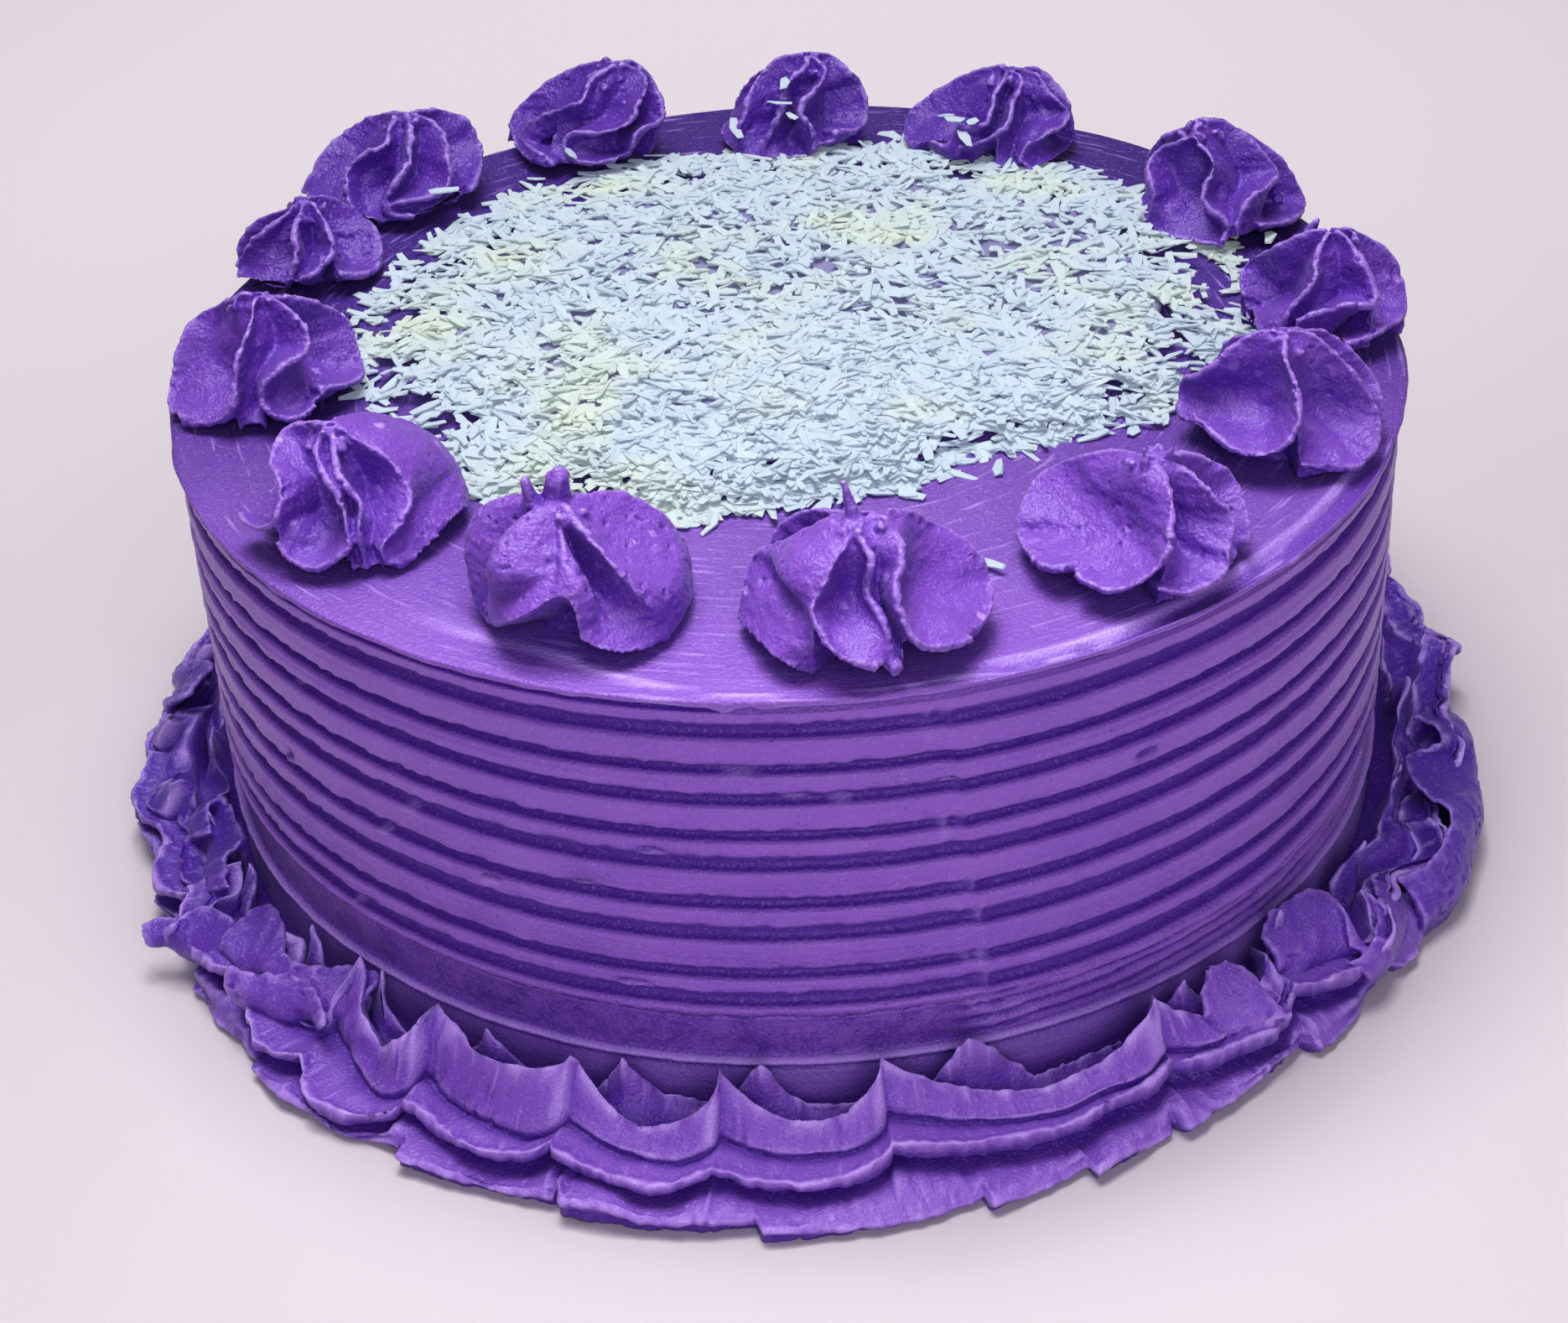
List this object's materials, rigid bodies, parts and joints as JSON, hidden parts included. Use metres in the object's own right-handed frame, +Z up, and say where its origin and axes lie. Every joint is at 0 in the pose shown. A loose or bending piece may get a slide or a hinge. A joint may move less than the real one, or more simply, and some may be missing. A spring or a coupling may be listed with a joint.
{
  "type": "chantilly cake",
  "caption": "Round frosted cake with a combed side, piped rosettes around the rim, a heap of shredded coconut on top and a ruffled piped border round its foot.",
  "frame": {"origin": "centre of the cake's foot, on the surface it stands on", "axes": "+Z up along the cake's axis, -Y towards the viewer of the picture, +X to the viewer's right"},
  "size_m": [0.2517, 0.2517, 0.1003],
  "materials": {
    "frosting_wall": "satin",
    "frosting_piped": "satin",
    "coconut": "matte"
  },
  "bodies": {
    "root": {"cake_body": "frosting_wall", "base_border": "frosting_piped", "coconut_heap": "coconut", "rosette_01": "frosting_piped", "rosette_02": "frosting_piped", "rosette_03": "frosting_piped", "rosette_04": "frosting_piped", "rosette_05": "frosting_piped", "rosette_06": "frosting_piped", "rosette_07": "frosting_piped", "rosette_08": "frosting_piped", "rosette_09": "frosting_piped", "rosette_10": "frosting_piped", "rosette_11": "frosting_piped", "rosette_12": "frosting_piped", "rosette_13": "frosting_piped"}
  },
  "joints": []
}
